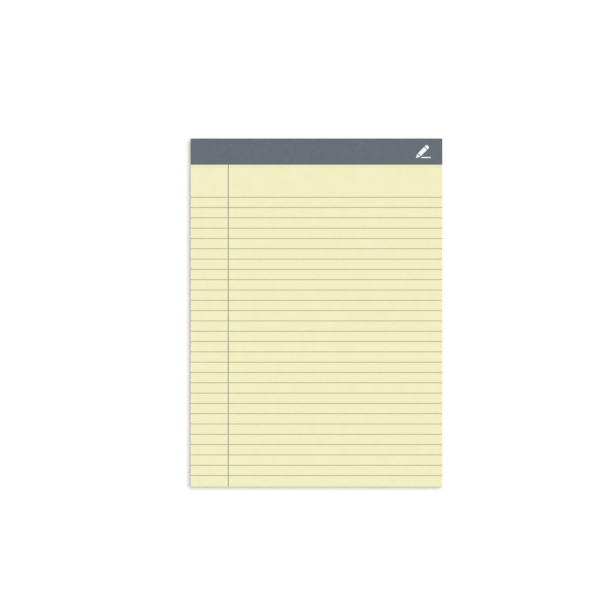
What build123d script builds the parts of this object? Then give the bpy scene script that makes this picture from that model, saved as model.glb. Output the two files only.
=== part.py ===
from build123d import *
import os

# A legal pad: perforated ruled sheets, wire stitched to a backing board under a folded header tape.
# Lengths are in millimetres. The origin is the middle of the footprint on the table. +X points
# right as the pad is read, +Y points to the bound head and +Z points out of the writing face.

# Sheets
sheet_width = 215.9
sheet_length = 298.45
sheet_thickness = 0.09
sheet_count = 50
seam_gap = 0.02
seam_depth = 0.15

# Perforation that a sheet tears off along, just clear of the tape
perforation_clear_of_tape = 2.1
slits_per_inch = 12
slit_width = 0.12
tie_length = 0.5

# Backing board
board_thickness = 0.76

# Header tape
tape_thickness = 0.13
tape_front_depth = 22.4
tape_back_depth = 19.0

# Stitches of flat wire, each a crown on the top sheet with two legs clinched under the board
stitch_count = 4
wire_thickness = 0.45
wire_width = 0.65
crown_width = 12.7
clinch_length = 4.5
wire_clearance = 0.05
dent_clearance = 0.1

# Ruling, a film of ink on the top sheet
first_rule_setback = 50.3
rule_pitch = 8.84
rule_width = 0.5
foot_margin = 5.0
margin_inset = 32.2
margin_line_width = 0.8
ink_thickness = 0.02

# Heights, from the table up through the tape's back leaf, the board and the sheets
board_bottom = tape_thickness
board_top = board_bottom + board_thickness
pages_thickness = sheet_count * sheet_thickness
pages_top = board_top + pages_thickness

# Lengthwise places: the tape's fold stands one thickness beyond the head of the sheets
foot_y = -(sheet_length + tape_thickness) / 2
head_y = foot_y + sheet_length
tape_edge_y = head_y - tape_front_depth

# Perforation slits, a whole number of them between the two side edges
inch = 25.4
slit_pitch = inch / slits_per_inch
slit_length = slit_pitch - tie_length
slit_count = int((sheet_width + tie_length / 2) / slit_pitch)
perforation_y = tape_edge_y - perforation_clear_of_tape

# Stitches, spread evenly across the head in the middle of the tape's back leaf. The heights
# are those of the wire's centreline, with the wire just under the faces that the tape covers.
wire_bend_radius = wire_thickness
wire_depth = wire_clearance + wire_thickness / 2
crown_z = pages_top - wire_depth
clinch_z = board_bottom + wire_depth
stitch_y = head_y - tape_back_depth / 2
stitch_pitch = sheet_width / stitch_count
stitch_places = [
    (stitch_pitch * (i - (stitch_count - 1) / 2), stitch_y) for i in range(stitch_count)
]

# Dents that the wire presses into the top sheet and the board, a little larger than the wire
dent_end_room = wire_depth + dent_clearance
dent_width = wire_width + 2 * (wire_clearance + dent_clearance)
crown_dent_length = crown_width + 2 * dent_end_room
clinch_dent_length = clinch_length + 2 * dent_end_room
clinch_dent_offset = (crown_width - clinch_length) / 2

# Rules, as many as fit above the foot margin
rule_count = int((sheet_length - first_rule_setback - foot_margin) / rule_pitch) + 1
rule_places = [(0, head_y - first_rule_setback - rule_pitch * i) for i in range(rule_count)]
margin_x = margin_inset - sheet_width / 2

from_foot = (Align.CENTER, Align.MIN)


def stitch_bar(place, room=0.0):
    """A flat bar along one stitch, with room all round: clinch, leg, crown, leg and clinch."""
    half_crown = crown_width / 2
    tip = half_crown - clinch_length - room
    upright = Plane(origin=(*place, 0), x_dir=(1, 0, 0), z_dir=(0, -1, 0))
    with BuildPart() as bar:
        with BuildLine(upright):
            route = FilletPolyline(
                (-tip, clinch_z),
                (-half_crown, clinch_z),
                (-half_crown, crown_z),
                (half_crown, crown_z),
                (half_crown, clinch_z),
                (tip, clinch_z),
                radius=wire_bend_radius,
            )
        with BuildSketch(Plane(origin=route @ 0, x_dir=(0, 0, 1), z_dir=route % 0)):
            Rectangle(wire_thickness + 2 * room, wire_width + 2 * room)
        sweep()
    return bar.part


# What each stitch takes out of the sheets and the board
stitch_channels = [stitch_bar(place, wire_clearance) for place in stitch_places]

os.makedirs("parts", exist_ok=True)

# The block of sheets, with the perforation's slits through every sheet
with BuildPart() as pages:
    with BuildSketch(Plane.XY.offset(board_top)):
        with Locations((0, foot_y)):
            Rectangle(sheet_width, sheet_length, align=from_foot)
        with Locations((0, perforation_y)):
            with GridLocations(slit_pitch, 0, slit_count, 1):
                Rectangle(slit_length, slit_width, mode=Mode.SUBTRACT)
    extrude(amount=pages_thickness)

    # Each stitch's channel, with the dent that its crown presses into the top sheets
    add(stitch_channels, mode=Mode.SUBTRACT)
    with BuildSketch(Plane.XY.offset(crown_z)):
        with Locations(*stitch_places):
            Rectangle(crown_dent_length, dent_width)
    extrude(amount=pages_top - crown_z, mode=Mode.SUBTRACT)

    # A seam between each two sheets, open at both sides and at the foot
    with BuildSketch(*[Plane.XY.offset(board_top + sheet_thickness * i) for i in range(1, sheet_count)]):
        with Locations((0, foot_y)):
            Rectangle(sheet_width, sheet_length, align=from_foot)
        with Locations((0, foot_y + seam_depth)):
            Rectangle(
                sheet_width - 2 * seam_depth,
                sheet_length - seam_depth,
                align=from_foot,
                mode=Mode.SUBTRACT,
            )
    extrude(amount=seam_gap / 2, both=True, mode=Mode.SUBTRACT)
pages.part.label = "pages"
export_step(pages.part, "parts/pages.step")

# The backing board, the size of the sheets
with BuildPart() as backing_board:
    with BuildSketch(Plane.XY.offset(board_bottom)):
        with Locations((0, foot_y)):
            Rectangle(sheet_width, sheet_length, align=from_foot)
    extrude(amount=board_thickness)

    # Each stitch's channel, with the dents that its two clinched ends press into the underside
    add(stitch_channels, mode=Mode.SUBTRACT)
    with BuildSketch(Plane.XY.offset(board_bottom)):
        with Locations(*stitch_places):
            with Locations((-clinch_dent_offset, 0), (clinch_dent_offset, 0)):
                Rectangle(clinch_dent_length, dent_width)
    extrude(amount=clinch_z - board_bottom, mode=Mode.SUBTRACT)
backing_board.part.label = "backing_board"
export_step(backing_board.part, "parts/backing_board.step")

# The header tape, one strip folded from the top sheet over the head to the board's underside
with BuildPart() as header_tape:
    with BuildSketch(Plane.YZ.offset(-sheet_width / 2)):
        with BuildLine():
            Polyline(
                (tape_edge_y, pages_top),
                (head_y, pages_top),
                (head_y, board_bottom),
                (head_y - tape_back_depth, board_bottom),
            )
            offset(amount=tape_thickness, side=Side.LEFT)
        make_face()
    extrude(amount=sheet_width)
header_tape.part.label = "header_tape"
export_step(header_tape.part, "parts/header_tape.step")

# The wire stitches
for number, place in enumerate(stitch_places, start=1):
    staple = stitch_bar(place)
    staple.label = f"staple_{number}"
    export_step(staple, f"parts/{staple.label}.step")

# The ruling: lines across the whole sheet, and the margin line from the tape down to the foot
with BuildPart() as ruling:
    with BuildSketch(Plane.XY.offset(pages_top)):
        with Locations(*rule_places):
            Rectangle(sheet_width, rule_width)
        with Locations((margin_x, foot_y)):
            Rectangle(margin_line_width, sheet_length - tape_front_depth, align=from_foot)
    extrude(amount=ink_thickness)
ruling.part.label = "ruling"
export_step(ruling.part, "parts/ruling.step")
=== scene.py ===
import math
import random

import bmesh
import bpy
from mathutils import Matrix, Vector


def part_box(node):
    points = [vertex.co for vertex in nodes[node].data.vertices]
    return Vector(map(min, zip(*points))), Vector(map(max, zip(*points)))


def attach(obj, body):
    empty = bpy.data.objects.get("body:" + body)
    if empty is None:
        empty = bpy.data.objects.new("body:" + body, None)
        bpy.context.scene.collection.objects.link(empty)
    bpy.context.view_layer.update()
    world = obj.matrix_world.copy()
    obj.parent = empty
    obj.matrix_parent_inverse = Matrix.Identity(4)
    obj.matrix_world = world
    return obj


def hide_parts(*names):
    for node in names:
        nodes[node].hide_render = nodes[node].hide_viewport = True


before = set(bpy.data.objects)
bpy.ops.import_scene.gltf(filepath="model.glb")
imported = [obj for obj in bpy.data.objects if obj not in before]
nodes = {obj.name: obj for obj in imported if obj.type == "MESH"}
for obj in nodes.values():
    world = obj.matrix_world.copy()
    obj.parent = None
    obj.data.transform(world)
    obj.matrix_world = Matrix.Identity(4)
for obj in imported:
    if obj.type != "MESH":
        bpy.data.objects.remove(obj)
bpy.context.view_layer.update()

# A legal pad lying face up: canary sheets with a grey ruling, a slate binding strip folded over
# the head, and a chipboard back. Lengths are in metres, written as millimetres times MM. +X
# points right as the pad is read, +Y points to the bound head and +Z points out of the face.
MM = 0.001

# The block of sheets and the strip, as packed
block_low, block_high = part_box("pages")
strip_low, strip_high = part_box("header_tape")
sheet_count = 50
sheet_thickness = (block_high.z - block_low.z) / sheet_count
head_y = block_high.y
foot_y = block_low.y


# Materials


def linear(hex_colour):
    """An sRGB hex colour as linear red, green, blue and alpha."""
    channels = [int(hex_colour[i : i + 2], 16) / 255 for i in (1, 3, 5)]
    return [c / 12.92 if c <= 0.04045 else ((c + 0.055) / 1.055) ** 2.4 for c in channels] + [1.0]


def per(size_mm):
    """The scale, on coordinates in metres, of a pattern whose features measure size_mm."""
    return 1 / (size_mm * MM)


def add(tree, kind, inputs=None, stops=None, **settings):
    """Add a shader node with its settings, colour stops and inputs, each a value or a link.

    Sockets go by identifier, because a Mix node has several of one name. A node given as an
    input stands for its first output in use.
    """
    node = tree.nodes.new("ShaderNode" + kind)
    for name, value in settings.items():
        setattr(node, name, value)
    for place, stop in enumerate(stops or {}):
        node.color_ramp.elements[place].position = stop
        node.color_ramp.elements[place].color = linear(stops[stop])
    sockets = {socket.identifier: socket for socket in node.inputs}
    for name, value in (inputs or {}).items():
        if isinstance(value, bpy.types.Node):
            value = next(socket for socket in value.outputs if socket.enabled)
        if isinstance(value, bpy.types.NodeSocket):
            tree.links.new(value, sockets[name])
        else:
            sockets[name].default_value = value
    return node


def start_material(name):
    """A new material, its node tree, and the coordinates that its patterns are drawn on."""
    material = bpy.data.materials.new(name)
    material.use_nodes = True
    material.node_tree.nodes.clear()
    return material, material.node_tree, add(material.node_tree, "TexCoord").outputs


def finish_material(tree, inputs):
    """End a material's tree in one shader with these inputs."""
    shader = add(tree, "BsdfPrincipled", inputs)
    add(tree, "OutputMaterial", {"Surface": shader})


def canary_bond():
    """Uncoated writing paper, dyed in the pulp and laid on a wire: matt, faintly cloudy, fibrous."""
    material, tree, coords = start_material("canary_bond")

    # Real fibres are some 0.03 mm thick. They are drawn ten times that, to show from a step away.
    cloud, fibre = 8.0, 0.35
    clouds = add(tree, "TexNoise", {"Vector": coords["Object"], "Scale": per(cloud), "Detail": 3.0})
    fibres = add(tree, "TexNoise", {"Vector": coords["Object"], "Scale": per(fibre), "Detail": 2.0})
    formation = add(tree, "Mix", {"Factor_Float": 0.6, "A_Float": clouds, "B_Float": fibres})
    face = add(tree, "ValToRGB", {"Fac": formation}, stops={0.32: "#efecbe", 0.68: "#f4f1c7"})

    # The knife leaves each sheet's edge a tone of its own. Single sheets of 0.09 mm are too fine
    # to show from a step away, so bundles of eight have a tone as well, which runs out in places.
    height = add(tree, "SeparateXYZ", {"Vector": coords["Object"]}).outputs["Z"]
    above = add(tree, "Math", {"Value": height, "Value_001": block_low.z}, operation="SUBTRACT")
    level = add(tree, "Math", {"Value": above, "Value_001": sheet_thickness}, operation="DIVIDE")
    sheet = add(tree, "Math", {"Value": level}, operation="FLOOR")
    sheet_tone = add(tree, "TexWhiteNoise", {"W": sheet}, noise_dimensions="1D")
    sheets_in_bundle = 8
    bundle = sheets_in_bundle * sheet_thickness / MM
    bundle_run = 80.0
    stretched = add(
        tree,
        "Mapping",
        {"Vector": coords["Object"], "Scale": (per(bundle_run), per(bundle_run), per(bundle))},
    )
    bundle_tone = add(tree, "TexNoise", {"Vector": stretched, "Scale": 1.0, "Detail": 3.0})
    layers = add(tree, "Mix", {"Factor_Float": 0.7, "A_Float": sheet_tone, "B_Float": bundle_tone})
    # Painted shade: the edge colours run darker overall than the face, for the shade that falls
    # between the sheets. Their spread from sheet to sheet and bundle to bundle is the edges' own
    # tone.
    cut_edge_tone_and_seam_shade = add(tree, "ValToRGB", {"Fac": layers}, stops={0.32: "#cfca97", 0.62: "#f5f2c8"})

    upright = add(tree, "SeparateXYZ", {"Vector": coords["Normal"]}).outputs["Z"]
    facing = add(tree, "Math", {"Value": upright}, operation="ABSOLUTE")
    on_face = add(tree, "Math", {"Value": facing, "Value_001": 0.5}, operation="GREATER_THAN")
    paper_tone = add(
        tree,
        "Mix",
        {"Factor_Float": on_face, "A_Color": cut_edge_tone_and_seam_shade, "B_Color": face},
        data_type="RGBA",
    )
    tooth = add(tree, "Bump", {"Height": fibres, "Distance": 0.02 * MM, "Strength": 0.35})
    finish_material(
        tree,
        {"Base Color": paper_tone, "Roughness": 0.85, "Specular IOR Level": 0.25, "Normal": tooth},
    )
    return material


def soaked_ruling_ink():
    """Water-based ink, ruled on by discs and soaked in: matt, a little paler where it ran thin."""
    material, tree, coords = start_material("soaked_ruling_ink")

    # The paper's fibres show through the ink, drawn about as coarse as on the bare paper.
    thin_stretch, fibre = 9.0, 0.3
    flow = add(
        tree,
        "TexNoise",
        {"Vector": coords["Object"], "Scale": per(thin_stretch), "Detail": 2.0},
    )
    fibres = add(tree, "TexNoise", {"Vector": coords["Object"], "Scale": per(fibre), "Detail": 1.0})
    density = add(tree, "Mix", {"Factor_Float": 0.4, "A_Float": flow, "B_Float": fibres})
    ink = add(tree, "ValToRGB", {"Fac": density}, stops={0.3: "#8a8972", 0.7: "#9c9b84"})
    finish_material(tree, {"Base Color": ink, "Roughness": 0.8, "Specular IOR Level": 0.25})
    return material


def slate_binding_paper():
    """Kraft binding paper, dyed slate and calendered: fine fibres along the strip, a soft sheen."""
    material, tree, coords = start_material("slate_binding_paper")

    # The fibres lie along the strip and are drawn several times their real thickness.
    fibre, fibre_run, cloud = 0.2, 2.0, 3.5
    along = add(
        tree,
        "Mapping",
        {"Vector": coords["Object"], "Scale": (per(fibre_run), per(fibre), per(fibre))},
    )
    fibres = add(tree, "TexNoise", {"Vector": along, "Scale": 1.0, "Detail": 3.0})
    clouds = add(tree, "TexNoise", {"Vector": coords["Object"], "Scale": per(cloud), "Detail": 3.0})
    formation = add(tree, "Mix", {"Factor_Float": 0.55, "A_Float": clouds, "B_Float": fibres})
    paper_tone = add(tree, "ValToRGB", {"Fac": formation}, stops={0.32: "#5b626b", 0.68: "#636b73"})

    # The two folds at the head rub on everything, so the dye is a little paler along them. The
    # paler colour is also a painted highlight, for the light that a rounded fold would catch.
    place = add(tree, "SeparateXYZ", {"Vector": coords["Object"]}).outputs
    reach = 0.45 * MM
    rub = 2.0
    half_height = (strip_high.z - strip_low.z) / 2
    to_head = add(
        tree,
        "MapRange",
        {"Value": place["Y"], "From Min": strip_high.y - reach, "From Max": strip_high.y},
    )
    from_middle = add(
        tree,
        "Math",
        {"Value": place["Z"], "Value_001": strip_low.z + half_height},
        operation="SUBTRACT",
    )
    off_middle = add(tree, "Math", {"Value": from_middle}, operation="ABSOLUTE")
    to_face = add(
        tree,
        "MapRange",
        {"Value": off_middle, "From Min": half_height - reach, "From Max": half_height},
    )
    at_fold = add(tree, "Math", {"Value": to_head, "Value_001": to_face}, operation="MULTIPLY")
    rubbed = add(tree, "TexNoise", {"Vector": coords["Object"], "Scale": per(rub), "Detail": 3.0})
    fold_wear_and_highlight = add(tree, "Math", {"Value": at_fold, "Value_001": rubbed}, operation="MULTIPLY")
    worn_and_highlit = add(
        tree,
        "Mix",
        {"Factor_Float": fold_wear_and_highlight, "A_Color": paper_tone, "B_Color": linear("#8d929a")},
        data_type="RGBA",
    )
    grain = add(tree, "Bump", {"Height": fibres, "Distance": 0.015 * MM, "Strength": 0.3})
    finish_material(
        tree,
        {"Base Color": worn_and_highlit, "Roughness": 0.62, "Specular IOR Level": 0.2, "Normal": grain},
    )
    return material


def recycled_chipboard():
    """Chipboard pressed from mixed waste paper: grey-brown, dry, with pale and dark flecks."""
    material, tree, coords = start_material("recycled_chipboard")

    # The fibres lie along the board and are drawn several times their real thickness.
    fibre, fibre_run, cloud = 0.3, 1.2, 5.0
    along = add(
        tree,
        "Mapping",
        {"Vector": coords["Object"], "Scale": (per(fibre), per(fibre_run), per(fibre))},
    )
    fibres = add(tree, "TexNoise", {"Vector": along, "Scale": 1.0, "Detail": 3.0})
    clouds = add(tree, "TexNoise", {"Vector": coords["Object"], "Scale": per(cloud), "Detail": 3.0})
    formation = add(tree, "Mix", {"Factor_Float": 0.55, "A_Float": clouds, "B_Float": fibres})
    pulp = add(tree, "ValToRGB", {"Fac": formation}, stops={0.33: "#938779", 0.67: "#b0a596"})

    # One noise gives both kinds of fleck: the pale ones where it is high, the dark where it is low.
    fleck = 1.0
    flecks = add(tree, "TexNoise", {"Vector": coords["Object"], "Scale": per(fleck), "Detail": 1.0})
    pale = add(
        tree,
        "MapRange",
        {"Value": flecks, "From Min": 0.66, "From Max": 0.7, "To Max": 0.6},
    )
    dark = add(
        tree,
        "MapRange",
        {"Value": flecks, "From Min": 0.34, "From Max": 0.3, "To Max": 0.5},
    )
    with_pale = add(
        tree,
        "Mix",
        {"Factor_Float": pale, "A_Color": pulp, "B_Color": linear("#cfc7b9")},
        data_type="RGBA",
    )
    with_both = add(
        tree,
        "Mix",
        {"Factor_Float": dark, "A_Color": with_pale, "B_Color": linear("#6d6459")},
        data_type="RGBA",
    )
    tooth = add(tree, "Bump", {"Height": fibres, "Distance": 0.04 * MM, "Strength": 0.5})
    finish_material(
        tree,
        {"Base Color": with_both, "Roughness": 0.95, "Specular IOR Level": 0.2, "Normal": tooth},
    )
    return material


def galvanised_wire():
    """Zinc-coated steel wire, drawn through a die: fine lines along it and a soft shine."""
    material, tree, coords = start_material("galvanised_wire")

    # The die's real lines are some 0.01 mm apart. They are drawn coarser, to show from close by.
    line, line_run = 0.06, 1.2
    along = add(
        tree,
        "Mapping",
        {"Vector": coords["Object"], "Scale": (per(line_run), per(line), per(line))},
    )
    drawn = add(tree, "TexNoise", {"Vector": along, "Scale": 1.0, "Detail": 2.0})
    zinc = add(tree, "ValToRGB", {"Fac": drawn}, stops={0.35: "#a9acae", 0.65: "#c6c8c9"})
    shine = add(tree, "MapRange", {"Value": drawn, "To Min": 0.28, "To Max": 0.45})
    finish_material(tree, {"Base Color": zinc, "Metallic": 1.0, "Roughness": shine})
    return material


def opaque_white_ink():
    """White printing ink on dark paper: flat and nearly even, with the fibres just showing."""
    material, tree, coords = start_material("opaque_white_ink")

    # The fibres are drawn as coarse as the bare papers' fibres are.
    fibre = 0.4
    cover = add(tree, "TexNoise", {"Vector": coords["Object"], "Scale": per(fibre), "Detail": 2.0})
    ink = add(tree, "ValToRGB", {"Fac": cover}, stops={0.25: "#e6e9ec", 0.6: "#f5f6f7"})
    finish_material(tree, {"Base Color": ink, "Roughness": 0.55, "Specular IOR Level": 0.3})
    return material


def shown_to_camera(tree):
    """1 on rays that the camera sends, straight, in a reflection or through glass, and else 0."""
    rays = add(tree, "LightPath").outputs
    indirect = add(
        tree,
        "Math",
        {"Value": rays["Is Glossy Ray"], "Value_001": rays["Is Transmission Ray"]},
        operation="MAXIMUM",
    )
    return add(
        tree,
        "Math",
        {"Value": rays["Is Camera Ray"], "Value_001": indirect},
        operation="MAXIMUM",
    )


def seamless_paper():
    """A photographer's white paper: the pad's shadow shows on it, and the rest looks plain white."""
    material, tree, _ = start_material("seamless_paper")
    lift_to_white = 0.06
    lift = add(
        tree,
        "Math",
        {"Value": shown_to_camera(tree), "Value_001": lift_to_white},
        operation="MULTIPLY",
    )
    finish_material(
        tree,
        {
            "Base Color": linear("#fcfcfc"),
            "Roughness": 1.0,
            "Specular IOR Level": 0.0,
            "Emission Color": linear("#ffffff"),
            "Emission Strength": lift,
        },
    )
    return material


# Pieces


def finish_piece(name, form, material):
    """Make a bmesh a piece of the pad: its own object in one material, riding on the pad."""
    mesh = bpy.data.meshes.new(name)
    form.to_mesh(mesh)
    form.free()
    mesh.materials.append(material)
    piece = bpy.data.objects.new(name, mesh)
    bpy.context.scene.collection.objects.link(piece)
    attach(piece, "root")
    return piece


def loose_leaf_block(material):
    """The sheets, with each one's free edges a hair off its neighbours', more so at the foot.

    The stitches clamp the head. The top sheet carries the ruling and the bottom one lies on the
    board, so both stay true.
    """
    side_play = 0.14 * MM
    foot_play = 0.12 * MM
    edge_reach = 0.01 * MM
    weld = 0.001 * MM
    random.seed(50)
    plays = [
        (random.uniform(-side_play, side_play), random.uniform(-foot_play, foot_play))
        for _ in range(sheet_count)
    ]
    plays[0] = plays[-1] = (0.0, 0.0)

    block = bmesh.new()
    block.from_mesh(nodes["pages"].data)
    bmesh.ops.remove_doubles(block, verts=block.verts, dist=weld)
    for vert in block.verts:
        sheet = min(sheet_count - 1, int((vert.co.z - block_low.z) / sheet_thickness))
        side, foot = plays[sheet]
        if abs(vert.co.x) > block_high.x - edge_reach:
            vert.co.x += side * (head_y - vert.co.y) / (head_y - foot_y)
        if vert.co.y < foot_y + edge_reach:
            vert.co.y += foot
    piece = finish_piece("loose_leaf_block", block, material)
    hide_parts("pages")


def printed_pencil(material):
    """A plain pencil over a written line, printed white on the strip near its right end."""
    length, width = 14.6 * MM, 3.5 * MM
    gap = 0.7 * MM
    point_end = 3.3 * MM
    barrel_end = 11.6 * MM
    rubber_rounding = 0.9 * MM
    line_length, line_width = 8.0 * MM, 0.95 * MM
    line_start = 4.6 * MM
    slant = math.radians(45)
    film = 0.012 * MM
    place = Vector((91.55 * MM, 138.05 * MM))
    unit_square = {"x_segments": 1, "y_segments": 1, "size": 0.5}

    # The pencil lies along +X from its point at the origin, cut into point, barrel and rubber.
    mark = bmesh.new()
    bmesh.ops.create_grid(mark, **unit_square)
    bmesh.ops.scale(mark, verts=mark.verts, vec=(length, width, 1))
    bmesh.ops.translate(mark, verts=mark.verts, vec=(length / 2, 0, 0))
    gaps = [(point_end, point_end + gap), (barrel_end, barrel_end + gap)]
    for cut in (x for pair in gaps for x in pair):
        everything = mark.verts[:] + mark.edges[:] + mark.faces[:]
        bmesh.ops.bisect_plane(mark, geom=everything, plane_co=(cut, 0, 0), plane_no=(1, 0, 0))
    in_gap = [
        face
        for face in mark.faces
        if any(start < face.calc_center_median().x < end for start, end in gaps)
    ]
    bmesh.ops.delete(mark, geom=in_gap, context="FACES")
    near_end = [vert for vert in mark.verts if vert.co.x < gap]
    far_end = [vert for vert in mark.verts if vert.co.x > length - gap]
    bmesh.ops.pointmerge(mark, verts=near_end, merge_co=(0, 0, 0))
    bmesh.ops.bevel(
        mark,
        geom=far_end,
        affect="VERTICES",
        offset=rubber_rounding,
        segments=5,
        profile=0.5,
        material=-1,
    )
    turn = Matrix.Rotation(slant, 3, "Z")
    bmesh.ops.rotate(mark, verts=mark.verts, cent=(0, 0, 0), matrix=turn)

    # The written line starts just right of the point.
    line = bmesh.ops.create_grid(mark, **unit_square)["verts"]
    bmesh.ops.scale(mark, verts=line, vec=(line_length, line_width, 1))
    bmesh.ops.translate(mark, verts=line, vec=(line_start + line_length / 2, line_width / 2, 0))

    # The whole mark is centred on its place, and raised by the ink's own thickness.
    low = Vector((min(vert.co.x for vert in mark.verts), min(vert.co.y for vert in mark.verts)))
    high = Vector((max(vert.co.x for vert in mark.verts), max(vert.co.y for vert in mark.verts)))
    shift = place - (low + high) / 2
    bmesh.ops.translate(mark, verts=mark.verts, vec=(shift.x, shift.y, strip_high.z))
    raised = bmesh.ops.extrude_face_region(mark, geom=mark.faces[:], use_keep_orig=True)["geom"]
    top = [element for element in raised if isinstance(element, bmesh.types.BMVert)]
    bmesh.ops.translate(mark, verts=top, vec=(0, 0, film))
    bmesh.ops.recalc_face_normals(mark, faces=mark.faces)
    finish_piece("printed_pencil", mark, material)


def dress(node_name, material):
    """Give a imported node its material."""
    materials = nodes[node_name].data.materials
    materials.clear()
    materials.append(material)


canary = canary_bond()
loose_leaf_block(canary)
dress("pages", canary)
dress("ruling", soaked_ruling_ink())
dress("header_tape", slate_binding_paper())
dress("backing_board", recycled_chipboard())
wire = galvanised_wire()
for node_name in nodes:
    if node_name.startswith("staple_"):
        dress(node_name, wire)
printed_pencil(opaque_white_ink())


# Floor, light and camera


def white_sweep(material):
    """The floor that the pad lies on, wide enough to fill the view from any side."""
    half_width = 5.0
    sheet = bmesh.new()
    bmesh.ops.create_grid(sheet, x_segments=1, y_segments=1, size=half_width)
    mesh = bpy.data.meshes.new("white_sweep")
    sheet.to_mesh(mesh)
    sheet.free()
    mesh.materials.append(material)
    floor = bpy.data.objects.new("white_sweep", mesh)
    bpy.context.scene.collection.objects.link(floor)


def studio_light():
    """A broad key almost overhead, from the upper right, with a fill from all round.

    Their shares add up to 1 on a level face, so a colour renders about as it is written.
    """
    fill_share = 0.2
    key_share = 1 - fill_share
    key_width = math.radians(60)
    key_elevation = math.radians(64)
    key_bearing = math.radians(45)

    world = bpy.data.worlds.new("light_tent")
    bpy.context.scene.world = world
    world.use_nodes = True
    tree = world.node_tree
    tree.nodes.clear()
    strength = add(
        tree,
        "MapRange",
        {"Value": shown_to_camera(tree), "To Min": fill_share, "To Max": 1.0},
    )
    tent = add(tree, "Background", {"Color": linear("#ffffff"), "Strength": strength})
    add(tree, "OutputWorld", {"Surface": tent})

    key = bpy.data.lights.new("key", "SUN")
    key.angle = key_width
    key.energy = key_share * math.pi / math.sin(key_elevation)
    lamp = bpy.data.objects.new("key", key)
    bpy.context.scene.collection.objects.link(lamp)
    towards_lamp = Vector(
        (
            math.cos(key_elevation) * math.cos(key_bearing),
            math.cos(key_elevation) * math.sin(key_bearing),
            math.sin(key_elevation),
        )
    )
    lamp.rotation_euler = towards_lamp.to_track_quat("Z", "Y").to_euler()


def overhead_camera():
    """A long lens straight above the pad, with the pad where the photograph has it."""
    frame_px = 600
    mm_per_px = 0.8576
    pad_middle_px = Vector((316.55, 312.5))
    lens, sensor = 100.0, 36.0
    pad_middle = Vector((0, (foot_y + strip_high.y) / 2))
    off_middle = (pad_middle_px - Vector((frame_px / 2, frame_px / 2))) * mm_per_px * MM
    camera = bpy.data.cameras.new("overhead")
    camera.lens = lens
    camera.sensor_width = sensor
    camera.clip_end = 20.0
    stand = bpy.data.objects.new("overhead", camera)
    bpy.context.scene.collection.objects.link(stand)
    stand.location = (
        pad_middle.x - off_middle.x,
        pad_middle.y + off_middle.y,
        block_high.z + frame_px * mm_per_px * MM * lens / sensor,
    )
    bpy.context.scene.camera = stand


white_sweep(seamless_paper())
studio_light()
overhead_camera()
bpy.context.scene.view_settings.view_transform = "Standard"
